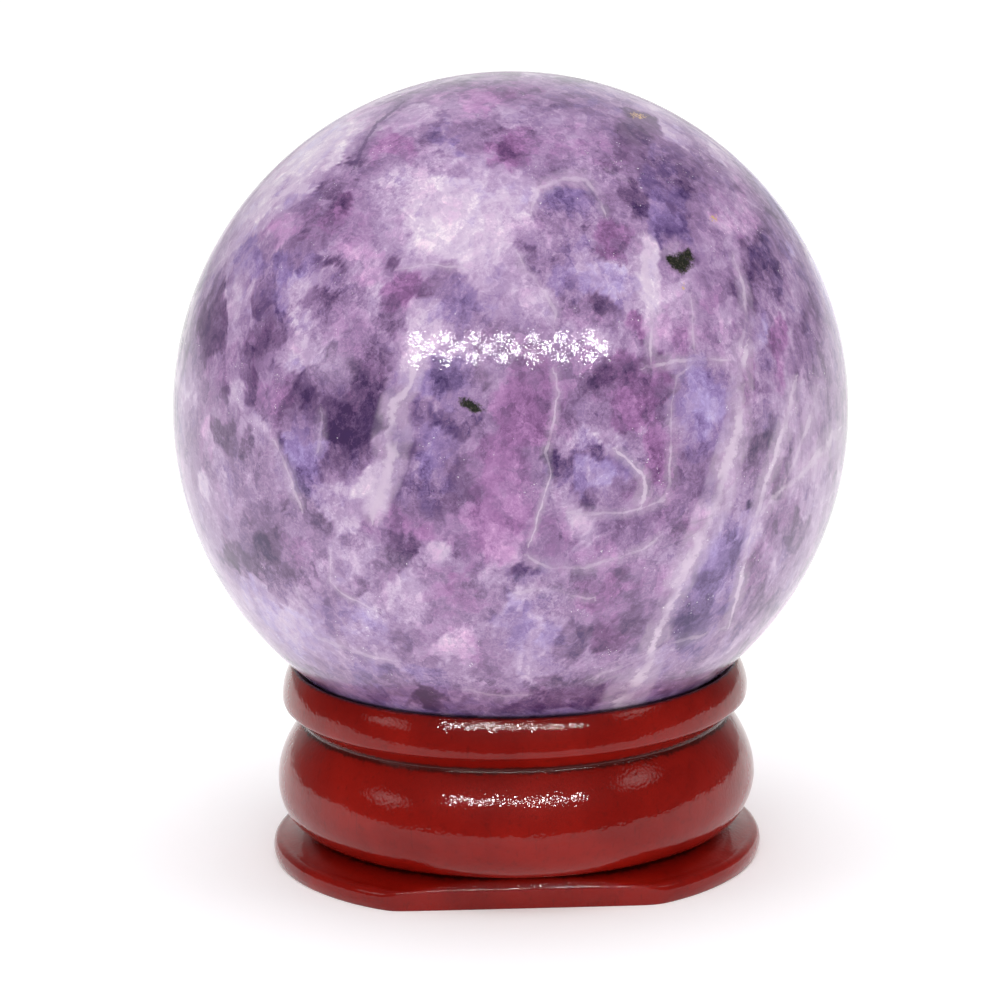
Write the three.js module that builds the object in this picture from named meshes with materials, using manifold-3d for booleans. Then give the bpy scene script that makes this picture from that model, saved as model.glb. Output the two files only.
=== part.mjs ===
import * as THREE from "three";
import { mergeVertices } from "three/addons/utils/BufferGeometryUtils.js";
import Module from "manifold-3d";

// A polished ball of purple mica stone that rests on a small turned stand of lacquered wood.
// Sizes are in millimetres with +Z up. The origin is the centre of the stand's underside,
// and the front of the object looks along -Y.

// Ball
const BALL_DIAMETER = 40;

// Heights of the stand's mouldings, stacked from the table up
const FOOT_EDGE_HEIGHT = 0.62;
const FOOT_SHOULDER_HEIGHT = 0.66;
const FOOT_TOP_RISE = 0.57;
const BEAD_LOWER_HEIGHT = 3.45;
const BEAD_UPPER_HEIGHT = 3.15;
const RING_UNDERCUT_HEIGHT = 1.05;
const RING_LIP_HEIGHT = 0.5;
const RING_CROWN_HEIGHT = 1.9;

// Radii of the same mouldings
const SOLE_RADIUS = 14.45;
const FOOT_RADIUS = 14.62;
const FOOT_SHOULDER_RADIUS = 14.05;
const LOWER_CREASE_RADIUS = 12.1;
const BEAD_RADIUS = 14.28;
const UPPER_CREASE_RADIUS = 12.8;
const RING_UNDERCUT_RADIUS = 13.65;
const RING_RADIUS = 13.92;
const RIM_RADIUS = 13.3;

// Seat: a cone turned into the stand's top that touches the ball along one circle,
// and below it a shallow dish that stays clear of the ball
const MOUTH_RADIUS = 13.14;
const SEAT_CONTACT_RADIUS = 12.3;
const SEAT_INNER_RADIUS = 11.6;
const SEAT_GAP = 0.1;
const DISH_CLEARANCE = 0.8;

// Two flats cut on the foot after turning, front and back
const FLAT_DISTANCE = 12.15;
const FLAT_TURN_DEG = 2;

// The mouldings between foot and rim were turned slightly out of square with the foot
const TURNING_LEAN_DEG = 0.4;

// Fineness of the facets
const SEGMENTS_AROUND = 64;
const BALL_RINGS = 32;
const CURVE_DIVISIONS = 3;

// Heights of the stand's edges above the table
const footShoulder = FOOT_EDGE_HEIGHT + FOOT_SHOULDER_HEIGHT;
const lowerCrease = footShoulder + FOOT_TOP_RISE;
const beadCrest = lowerCrease + BEAD_LOWER_HEIGHT;
const upperCrease = beadCrest + BEAD_UPPER_HEIGHT;
const ringUndercut = upperCrease + RING_UNDERCUT_HEIGHT;
const ringLip = ringUndercut + RING_LIP_HEIGHT;
const standHeight = ringLip + RING_CROWN_HEIGHT;

// The seat's slope is the ball's own slope at the contact circle, which places the ball
const ballRadius = BALL_DIAMETER / 2;
const contactDepth = Math.sqrt(ballRadius ** 2 - SEAT_CONTACT_RADIUS ** 2);
const seatSlope = SEAT_CONTACT_RADIUS / contactDepth;
const contactHeight = standHeight - seatSlope * (MOUTH_RADIUS - SEAT_CONTACT_RADIUS);
const ballHeight = contactHeight + contactDepth + SEAT_GAP * Math.hypot(1, seatSlope);

const stone = new THREE.MeshStandardMaterial({ color: 0x8d6e9f, roughness: 0.12, metalness: 0 });
const lacqueredWood = new THREE.MeshStandardMaterial({ color: 0x7a1510, roughness: 0.2, metalness: 0 });

/** The outside of the stand as (radius, height), from the axis at the sole up to the rim. */
function outsideOutline() {
  const path = new THREE.Path();
  // Foot: a rounded edge, and a top that rises gently to the crease under the bead
  path.moveTo(0, 0);
  path.lineTo(SOLE_RADIUS, 0);
  path.quadraticCurveTo(FOOT_RADIUS, FOOT_EDGE_HEIGHT / 2, FOOT_RADIUS, FOOT_EDGE_HEIGHT);
  path.quadraticCurveTo(FOOT_RADIUS, footShoulder, FOOT_SHOULDER_RADIUS, footShoulder);
  path.lineTo(LOWER_CREASE_RADIUS, lowerCrease);
  // Bead: a quarter of an ellipse below its crest, and a flatter bow from the crest to the crease
  const beadDepth = BEAD_RADIUS - LOWER_CREASE_RADIUS;
  path.absellipse(LOWER_CREASE_RADIUS, beadCrest, beadDepth, BEAD_LOWER_HEIGHT, -Math.PI / 2, 0, false);
  path.quadraticCurveTo(BEAD_RADIUS, beadCrest + BEAD_UPPER_HEIGHT / 2, UPPER_CREASE_RADIUS, upperCrease);
  // Ring: undercut below, rounded at its lip, and crowned up to the rim
  path.lineTo(RING_UNDERCUT_RADIUS, ringUndercut);
  path.quadraticCurveTo(RING_RADIUS, ringUndercut, RING_RADIUS, ringLip);
  path.quadraticCurveTo(RING_RADIUS, ringLip + RING_CROWN_HEIGHT / 2, RIM_RADIUS, standHeight);
  return spaced(path.getPoints(CURVE_DIVISIONS));
}

/** The inside of the stand as (radius, height), from the mouth down to the dish's middle. */
function insideOutline() {
  const path = new THREE.Path();
  const dishRadius = ballRadius + DISH_CLEARANCE;
  const edgeAngle = -Math.acos(SEAT_INNER_RADIUS / dishRadius);
  path.moveTo(MOUTH_RADIUS, standHeight);
  path.lineTo(SEAT_INNER_RADIUS, standHeight - seatSlope * (MOUTH_RADIUS - SEAT_INNER_RADIUS));
  path.absarc(0, ballHeight, dishRadius, edgeAngle, -Math.PI / 2, true);
  const points = spaced(path.getPoints(CURVE_DIVISIONS));
  points.at(-1).x = 0;
  return points;
}

/** Leaves out points that fall on the one before them. */
function spaced(points) {
  return points.filter((point, i) => i === 0 || point.distanceTo(points[i - 1]) > 1e-6);
}

/** How much of the turning's lean a height has: none at the foot and the rim, all between them. */
function leanShare(z) {
  const rising = (z - lowerCrease) / BEAD_LOWER_HEIGHT;
  const falling = (standHeight - z) / (standHeight - ringLip);
  return THREE.MathUtils.clamp(Math.min(rising, falling), 0, 1);
}

/** The turned shape: both outlines revolved, with the outside's lean put in. */
function turnedBlank() {
  const outside = outsideOutline();
  const outline = [...outside, ...insideOutline()];
  const geometry = new THREE.LatheGeometry(outline, SEGMENTS_AROUND);
  geometry.rotateX(Math.PI / 2);
  const lean = Math.tan(THREE.MathUtils.degToRad(TURNING_LEAN_DEG));
  const position = geometry.attributes.position;
  for (let i = 0; i < position.count; i++) {
    if (i % outline.length < outside.length) {
      const z = position.getZ(i);
      position.setZ(i, z + leanShare(z) * lean * position.getX(i));
    }
  }
  return geometry;
}

/**
 * A block outside the foot whose inner face is one flat; side is 1 at the front, -1 at the back.
 * It ends at the crease, so the bead above stays whole.
 */
function flatCutter(side) {
  const block = new THREE.BoxGeometry(3 * FOOT_RADIUS, FOOT_RADIUS, 2 * lowerCrease);
  block.translate(0, -side * (FLAT_DISTANCE + FOOT_RADIUS / 2), 0);
  block.rotateZ(THREE.MathUtils.degToRad(FLAT_TURN_DEG));
  return block;
}

/** A closed three.js geometry as a solid that can be cut. */
function toSolid(wasm, geometry) {
  geometry.deleteAttribute("normal");
  geometry.deleteAttribute("uv");
  const merged = mergeVertices(geometry);
  const triangles = [];
  for (let i = 0; i < merged.index.count; i += 3) {
    const [a, b, c] = merged.index.array.slice(i, i + 3);
    if (a !== b && b !== c && c !== a) triangles.push(a, b, c);
  }
  return new wasm.Manifold(new wasm.Mesh({
    numProp: 3,
    vertProperties: new Float32Array(merged.attributes.position.array),
    triVerts: new Uint32Array(triangles),
  }));
}

/** A cut solid as a three.js geometry again. */
function toGeometry(solid) {
  const { vertProperties, triVerts } = solid.getMesh();
  const geometry = new THREE.BufferGeometry();
  geometry.setAttribute("position", new THREE.BufferAttribute(vertProperties, 3));
  geometry.setIndex(new THREE.BufferAttribute(triVerts, 1));
  geometry.computeVertexNormals();
  return geometry;
}

/** The stone ball, with its poles up and down. */
function makeBall() {
  const geometry = new THREE.SphereGeometry(ballRadius, SEGMENTS_AROUND, BALL_RINGS);
  geometry.rotateX(Math.PI / 2);
  const ball = new THREE.Mesh(geometry, stone);
  ball.name = "stone_ball";
  ball.position.z = ballHeight;
  return ball;
}

/** The wooden stand: the turned blank with the foot's two flats cut off. */
function makeStand(wasm) {
  let solid = toSolid(wasm, turnedBlank());
  for (const side of [1, -1]) solid = solid.subtract(toSolid(wasm, flatCutter(side)));
  const stand = new THREE.Mesh(toGeometry(solid), lacqueredWood);
  stand.name = "wooden_stand";
  return stand;
}

const wasm = await Module();
wasm.setup();
const object = new THREE.Group();
object.add(makeBall(), makeStand(wasm));

export default object;
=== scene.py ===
# %% [markdown]
# A polished ball of purple mica stone on a small turned stand of red lacquered wood.
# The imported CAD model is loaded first, as a fixed frame in metres. Both of its nodes are then
# replaced by finer surfaces of the same size: numpy works out each surface as whole arrays.

import bpy
import numpy as np
from mathutils import Matrix, Vector


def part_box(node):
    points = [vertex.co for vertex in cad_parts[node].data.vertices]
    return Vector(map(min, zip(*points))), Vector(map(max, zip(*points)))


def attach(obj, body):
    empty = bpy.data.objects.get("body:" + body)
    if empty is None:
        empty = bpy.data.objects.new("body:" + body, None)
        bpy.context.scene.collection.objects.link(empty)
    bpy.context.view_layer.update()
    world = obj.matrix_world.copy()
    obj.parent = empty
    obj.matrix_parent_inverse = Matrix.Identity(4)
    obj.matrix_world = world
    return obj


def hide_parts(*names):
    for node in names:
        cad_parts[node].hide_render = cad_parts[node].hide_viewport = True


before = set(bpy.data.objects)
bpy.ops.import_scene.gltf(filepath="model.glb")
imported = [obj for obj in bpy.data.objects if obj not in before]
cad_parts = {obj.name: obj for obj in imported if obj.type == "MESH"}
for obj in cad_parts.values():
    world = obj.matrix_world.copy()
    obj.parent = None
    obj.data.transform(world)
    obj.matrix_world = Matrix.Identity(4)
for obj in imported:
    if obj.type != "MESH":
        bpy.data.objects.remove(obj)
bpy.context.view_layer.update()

MM = 0.001


def smoothstep(low, high, x):
    """0 below low, 1 above high, and the cubic 3t^2 - 2t^3 between them."""
    t = np.clip((x - low) / (high - low), 0, 1)
    return t * t * (3 - 2 * t)


def unit(v):
    """Vectors at length 1."""
    return v / np.linalg.norm(v, axis=-1, keepdims=True)


def linear(hex_colour):
    """An sRGB hex colour as linear red, green, blue and an alpha of 1."""
    c = np.array([int(hex_colour[i:i + 2], 16) for i in (1, 3, 5)]) / 255
    c = np.where(c <= 0.04045, c / 12.92, ((c + 0.055) / 1.055) ** 2.4)
    return (*c.tolist(), 1.0)


# %% [markdown]
# The sizes come from the frame: the ball's radius and centre from its node's box, and the stand's
# height from its own. The stand's mouldings are stated again in millimetres, from the table up.

# %% Sizes of the ball and the stand
ball_low, ball_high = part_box("stone_ball")
BALL_RADIUS = (ball_high.z - ball_low.z) / 2 / MM
BALL_CENTRE = np.array([0, 0, (ball_high.z + ball_low.z) / 2 / MM])
STAND_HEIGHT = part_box("wooden_stand")[1].z / MM

# Heights of the mouldings' edges
FOOT_EDGE, FOOT_SHOULDER, LOWER_CREASE, BEAD_CREST = 0.62, 1.28, 1.92, 4.8
UPPER_CREASE, RING_UNDERCUT, RING_LIP = 8.6, 9.5, 10.0
# Radii of the same edges, and of the seat in the top
SOLE_RADIUS, FOOT_RADIUS, FOOT_SHOULDER_RADIUS, LOWER_CREASE_RADIUS = 14.45, 14.62, 14.05, 12.0
BEAD_RADIUS, UPPER_CREASE_RADIUS, RING_UNDERCUT_RADIUS = 14.28, 12.65, 13.65
RING_RADIUS, RIM_RADIUS = 13.92, 13.3
MOUTH_RADIUS, SEAT_CONTACT_RADIUS, SEAT_INNER_RADIUS, DISH_CLEARANCE = 13.14, 12.3, 11.6, 0.8
# The flat's face from the sole up: (distance from the axis, height).
FLAT_FACE = [(12.15, 0.0), (12.42, 1.2), (12.02, LOWER_CREASE)]
FLAT_TURN, TURNING_LEAN = np.radians(2), np.radians(0.4)
print(f"ball radius {BALL_RADIUS:.2f} mm, centre {BALL_CENTRE[2]:.2f} mm up")
print(f"stand {STAND_HEIGHT:.2f} mm high")

# %% [markdown]
# The camera stands 400 mm from the ball, 13.5 degrees above it, with a long lens, and is rolled by
# less than a degree. It points a little past the ball, which puts the ball's centre slightly right
# of the picture's middle and well above it. It is made first, because the marks on the stone's front
# are placed as they are seen from here.

# %% The camera
VIEW_DISTANCE, VIEW_RISE, VIEW_ROLL = 400, np.radians(13.47), np.radians(-0.85)
PICTURE = 1000
BALL_PIXEL = np.array([510.65, 409.2])
BALL_PIXEL_RADIUS = 337.9
focal_pixels = BALL_PIXEL_RADIUS / np.tan(np.arcsin(BALL_RADIUS / VIEW_DISTANCE))


def turned(v, axis, angle):
    """The vector v turned about an axis by an angle (Rodrigues' formula)."""
    along = axis * (axis @ v) * (1 - np.cos(angle))
    return v * np.cos(angle) + np.cross(axis, v) * np.sin(angle) + along


back = np.array([0, -np.cos(VIEW_RISE), np.sin(VIEW_RISE)])
eye = BALL_CENTRE + VIEW_DISTANCE * back
right = np.array([1.0, 0, 0])
up = np.cross(back, right)
right, up = turned(right, back, VIEW_ROLL), turned(up, back, VIEW_ROLL)
yaw, pitch = np.arctan((BALL_PIXEL - PICTURE / 2) / focal_pixels)
right, back = turned(right, up, yaw), turned(back, up, yaw)
up, back = turned(up, right, pitch), turned(back, right, pitch)

camera_data = bpy.data.cameras.new("camera")
camera_data.sensor_width = 36
camera_data.lens = focal_pixels / PICTURE * camera_data.sensor_width
camera = bpy.data.objects.new("camera", camera_data)
view_axes = Matrix(np.array([right, up, back]).T).to_4x4()
camera.matrix_world = Matrix.Translation(Vector(eye * MM)) @ view_axes
bpy.context.scene.collection.objects.link(camera)
bpy.context.scene.camera = camera
print(f"lens {camera_data.lens:.1f} mm")

# %% [markdown]
# Stone and hand-turned wood are irregular at every size. One noise function serves both: smooth
# gradient noise on a lattice, summed over octaves. Its random gradients have a fixed seed.

# %% Noise
lattice = np.random.default_rng(7)
SHUFFLE = np.tile(lattice.permutation(256), 3)
GRADIENTS = unit(lattice.normal(size=(256, 3)))


def noise(points):
    """Gradient noise, about -0.7 to 0.7: at each of the 8 lattice corners round a point the dot
    product of the corner's gradient and the way to the point, mixed by 6t^5 - 15t^4 + 10t^3."""
    cell = np.floor(points).astype(int)
    part = points - cell
    cell &= 255
    fade = part ** 3 * (part * (part * 6 - 15) + 10)
    total = 0
    for corner in np.ndindex(2, 2, 2):
        i, j, k = (cell + corner).T
        gradient = GRADIENTS[SHUFFLE[SHUFFLE[SHUFFLE[i] + j] + k]]
        weight = np.prod(np.where(corner, fade, 1 - fade), axis=1)
        total = total + weight * np.sum(gradient * (part - corner), axis=1)
    return total


def cloud(points, wavelength, octaves=4, offset=0.0):
    """Noise summed over octaves, each with half the wavelength (in mm) and half the height."""
    return sum(noise(points / wavelength * 2 ** o + offset + 17.3 * o) / 2 ** o for o in range(octaves))


# %% [markdown]
# A mesh with an even grid all over has no crowded poles. The ball is a cube of six square grids
# blown up to a sphere. The tangent in the formula keeps the squares nearly equal, about a quarter
# of a millimetre wide. Equal points along the cube's edges are joined, so the ball is closed.

# %% A surface from numpy arrays
def mesh_object(name, points, faces):
    """A smooth-shaded mesh object at the origin, from points in mm and lists of their numbers."""
    mesh = bpy.data.meshes.new(name)
    mesh.from_pydata((points * MM).tolist(), [], faces)
    mesh.polygons.foreach_set("use_smooth", np.ones(len(mesh.polygons), bool))
    mesh.update()
    piece = bpy.data.objects.new(name, mesh)
    bpy.context.scene.collection.objects.link(piece)
    print(f"{name}: {len(points)} points, {len(faces)} faces")
    return piece


def store(piece, name, values):
    """Keeps one number for each point of a piece, for its material."""
    numbers = piece.data.attributes.new(name, "FLOAT", "POINT").data
    numbers.foreach_set("value", values.astype(np.float32))


def grid_quads(rows, columns):
    """The quads of a grid of points numbered along its rows."""
    i, j = np.meshgrid(np.arange(rows - 1), np.arange(columns - 1), indexing="ij")
    a = (i * columns + j).ravel()
    return np.stack([a, a + 1, a + columns + 1, a + columns], axis=1)


# %% The ball's surface
BALL_GRID = 128


def blown_cube(count):
    """Directions and quads of a cube blown up to a unit sphere: on each side the point
    (tan(a), tan(b), 1) for a and b from -45 to 45 degrees, at length 1."""
    angle = np.linspace(-np.pi / 4, np.pi / 4, count + 1)
    a, b = np.meshgrid(np.tan(angle), np.tan(angle), indexing="ij")
    sides, quads = [], []
    for axis in range(3):
        for sign in (1, -1):
            side = np.empty((a.size, 3))
            side[:, axis] = sign
            side[:, (axis + 1) % 3] = a.ravel() * sign
            side[:, (axis + 2) % 3] = b.ravel()
            quads.append(grid_quads(count + 1, count + 1)[:, ::-1] + len(sides) * a.size)
            sides.append(side)
    points = unit(np.concatenate(sides))
    _, first, again = np.unique(np.round(points, 7), axis=0, return_index=True, return_inverse=True)
    return points[first], again.ravel()[np.concatenate(quads)]


directions, ball_quads = blown_cube(BALL_GRID)
on_ball = directions * BALL_RADIUS
ball = mesh_object("polished_ball", on_ball + BALL_CENTRE, ball_quads.tolist())

# %% [markdown]
# The stone is a mass of mica flakes, violet to blue-violet to lilac, in clouds and patches that
# thin pale veins of other minerals cut into cells. The marks of its front are listed one by one, each
# by its middle and half sizes in mm across and up, as seen from the camera on a plane through the
# ball's centre. Towards the edge of what the camera sees they give way to patches of the same kind
# that are scattered over the whole ball from a fixed seed.

# %% Where a point of the ball is seen
def seen(points):
    """Millimetres across and up from the ball's centre on the plane through it that faces the
    camera: the ray from the eye through the point, followed to that plane."""
    towards = points + BALL_CENTRE - eye
    centre = BALL_CENTRE - eye
    depth, centre_depth = -towards @ back, -centre @ back
    across = towards @ right / depth - centre @ right / centre_depth
    rise = towards @ up / depth - centre @ up / centre_depth
    return across * centre_depth, rise * centre_depth


to_eye = unit(eye - BALL_CENTRE - on_ball)
facing = np.sum(directions * to_eye, axis=1)
front = smoothstep(0.04, 0.3, facing)

# %% [markdown]
# Mica grows in plates, and a sawn and polished plate shows as a cell of nearly one tone with a
# crisp border. The plates are Voronoi cells: every point belongs to the nearest of a set of
# scattered centres. A patch of colour is then looked up partly at the point itself and partly at
# its plate's centre, so the edges of the patches follow the edges of the plates.

# %% Plates
JITTER = lattice.uniform(0, 1, size=(256, 3))


def plates(points, size):
    """Voronoi cells with one scattered centre in each cube of a grid. Gives every point its
    nearest centre, how far it is from a border (second nearest distance less the nearest), and
    its cell's number, from 0 to 255."""
    cube = np.floor(points / size).astype(int)
    nearest = np.full(len(points), np.inf)
    second = nearest.copy()
    centre = np.zeros_like(points)
    label = np.zeros(len(points), int)
    for step in np.ndindex(3, 3, 3):
        corner = cube + step - 1
        i, j, k = (corner & 255).T
        key = SHUFFLE[SHUFFLE[SHUFFLE[i] + j] + k]
        candidate = (corner + JITTER[key]) * size
        gap = np.linalg.norm(points - candidate, axis=1)
        closer = gap < nearest
        second = np.where(closer, nearest, np.minimum(second, gap))
        nearest = np.where(closer, gap, nearest)
        centre[closer] = candidate[closer]
        label[closer] = key[closer]
    return centre, second - nearest, label


LARGE_PLATE, SMALL_PLATE, FAR_PLATE = 2.2, 0.95, 5.5
STRETCH = np.array([1.2, 1.0, 0.8])
# The share of the way to its plate's centre by which a point's look-up moves
PLATE_PULL = 0.40
# Each further set of plates is moved away from the first, so that its cells are other ones.
SMALL_MOVE, FAR_MOVE = 31.3, 77.7

warp = np.stack([cloud(on_ball, 3.2, 4, offset) for offset in (3.1, 21.7, 40.9)], axis=1)
jagged = np.stack([cloud(on_ball, 0.9, 2, offset) for offset in (5.3, 33.1, 51.7)], axis=1)
grown = (on_ball + 0.8 * warp + 0.25 * jagged) * STRETCH
large_centre, _, large_label = plates(grown, LARGE_PLATE)
small_centre, small_border, small_label = plates(grown + SMALL_MOVE, SMALL_PLATE)
shift = PLATE_PULL * (large_centre - grown) + PLATE_PULL * (small_centre - SMALL_MOVE - grown)
across, rise = seen(on_ball + 0.45 * warp + 0.20 * jagged + shift / STRETCH)
fine_across, fine_rise = seen(on_ball + 0.16 * warp + 0.14 * jagged)

# %% Soft patches
# Each row: across, up, half width, half height, turn in degrees, strength.
PALE = [
    # the big pinkish-white cloud above the middle
    (-3.6, 12.0, 3.6, 2.6, 5, 0.85), (-2.0, 13.0, 2.0, 1.1, 5, 0.9), (-5.2, 13.0, 1.6, 1.0, -20, 0.8),
    (-1.4, 10.6, 2.4, 1.6, 0, 0.75), (-3.6, 9.4, 2.6, 0.9, 10, 0.7), (-1.0, 7.9, 2.2, 1.5, -30, 0.5),
    (0.6, 12.9, 1.4, 0.7, 0, 0.6), (0.3, 11.4, 0.9, 0.7, 0, 0.7),
    # the upper left edge and the top
    (-12.0, 15.2, 3.6, 1.3, 40, 0.6), (-5.4, 17.5, 4.0, 0.6, 15, 0.5), (0.2, 17.3, 1.2, 0.5, 0, 0.55),
    (-7.4, 13.6, 1.4, 0.5, 20, 0.5), (-14.9, 12.6, 1.0, 2.2, -40, 0.4), (3.2, 16.6, 3.0, 0.8, 0, 0.25),
    # the left side
    (-12.5, 7.1, 0.4, 1.3, -20, 0.55), (-15.9, 6.2, 0.6, 1.7, -12, 0.65), (-12.4, 4.8, 0.8, 1.0, -10, 0.9),
    (-12.3, 2.7, 1.4, 0.8, -5, 0.8), (-13.6, 3.4, 0.9, 0.5, 0, 0.6), (-16.4, 1.1, 0.3, 0.6, 0, 0.9),
    (-8.8, 9.0, 1.3, 0.9, 0, 0.45), (-8.3, 7.8, 0.5, 0.9, -20, 0.5), (-8.3, 6.6, 0.9, 0.6, 0, 0.35),
    (-19.0, 0.9, 0.5, 1.4, 0, 0.5), (-17.7, -1.4, 0.35, 1.0, 0, 0.6), (-15.1, -1.5, 0.35, 0.8, 30, 0.6),
    (-12.3, -2.4, 1.0, 1.6, 0, 0.35), (-17.9, -4.3, 0.3, 1.0, 20, 0.7), (-17.4, -6.0, 1.4, 1.2, 20, 0.3),
    # the bright zone at the left of the lamps, partly the stone's own pale and partly a painted glow
    # of the lamps' reflection, and the vein below it
    (-5.1, 3.9, 1.1, 1.8, -10, 0.66), (-6.0, 5.5, 0.8, 0.9, 0, 0.42), (-4.8, 5.4, 1.2, 0.7, 0, 0.35),
    (-9.2, -5.0, 2.2, 0.9, 5, 0.7), (-8.0, -4.6, 0.8, 1.0, 0, 0.7), (-9.8, -6.5, 0.7, 0.6, 0, 0.95),
    (-7.8, -6.0, 0.5, 1.0, 20, 0.6), (-10.2, -8.9, 1.8, 1.2, 0, 0.4), (-9.0, -8.8, 0.9, 0.4, 20, 0.5),
    # the lower left and the lower middle
    (-14.4, -12.2, 3.2, 1.5, -42, 0.5), (-12.0, -13.6, 2.5, 1.0, -35, 0.35), (-7.4, -11.8, 2.4, 1.6, 0, 0.5),
    (-5.9, -10.8, 1.0, 0.9, 0, 0.6), (-4.1, -8.7, 1.1, 0.5, 15, 0.75), (-3.5, -14.0, 1.1, 0.8, 20, 0.65),
    (-1.0, -9.7, 0.5, 0.8, -10, 0.5), (-1.0, -13.0, 0.9, 0.9, 0, 0.4), (-7.5, -14.6, 1.6, 0.6, -10, 0.4),
    (1.4, -12.8, 1.8, 2.2, 0, 0.3), (0.3, -11.2, 1.0, 0.4, 30, 0.6), (-0.4, -8.2, 0.5, 0.8, 20, 0.6),
    (0.6, -8.5, 0.35, 0.9, 20, 0.7), (2.4, -15.4, 2.6, 0.8, 0, 0.35),
    # right of the middle
    (8.2, 8.4, 0.5, 2.0, 0, 0.9), (5.6, 7.6, 2.0, 1.1, 0, 0.5), (6.6, 8.9, 0.9, 0.6, 0, 0.4),
    (0.6, 6.8, 1.2, 1.3, 0, 0.6), (2.0, 6.0, 0.6, 0.6, 0, 0.7), (4.2, 4.3, 1.6, 0.7, 0, 0.55),
    (6.2, 3.6, 1.5, 0.4, 5, 0.6), (9.6, 7.2, 0.8, 1.0, 0, 0.45), (9.0, 5.0, 0.9, 1.4, 0, 0.2),
    (3.9, -1.5, 1.4, 0.45, 0, 0.55), (5.6, -1.9, 0.9, 0.25, -10, 0.8), (5.7, -3.3, 1.2, 0.6, -15, 0.35),
    (3.8, -6.7, 0.45, 0.8, 15, 0.85), (5.4, -4.4, 0.5, 0.5, 0, 0.4), (4.9, -7.4, 0.8, 0.5, 0, 0.3),
    (13.0, 5.8, 0.6, 0.7, 0, 0.4), (14.6, 4.6, 0.4, 1.5, 0, 0.4), (11.3, -0.4, 1.0, 0.8, 0, 0.25),
    # the upper right edge and the right side
    (12.2, 14.9, 1.1, 0.6, -40, 0.55), (9.6, 16.4, 1.0, 0.3, -35, 0.6), (13.4, 11.8, 1.0, 1.3, -20, 0.45),
    (11.3, 10.7, 0.7, 0.22, 35, 0.85), (8.6, 12.2, 0.5, 0.9, 0, 0.35), (13.0, 9.6, 0.5, 1.0, 10, 0.3),
    (16.8, 6.2, 0.35, 1.6, -10, 0.45), (17.4, 3.0, 0.35, 1.8, 0, 0.4), (16.5, 9.0, 0.5, 1.4, -25, 0.4),
    (17.6, -5.0, 0.9, 2.0, 15, 0.35), (15.0, -8.4, 0.8, 1.8, 25, 0.35), (13.4, -14.0, 2.0, 0.7, 40, 0.4),
    (14.0, -6.0, 0.5, 0.8, 20, 0.35), (16.6, -1.2, 0.3, 1.2, 20, 0.5), (11.8, -6.6, 0.9, 0.5, 25, 0.4),
]

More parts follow.
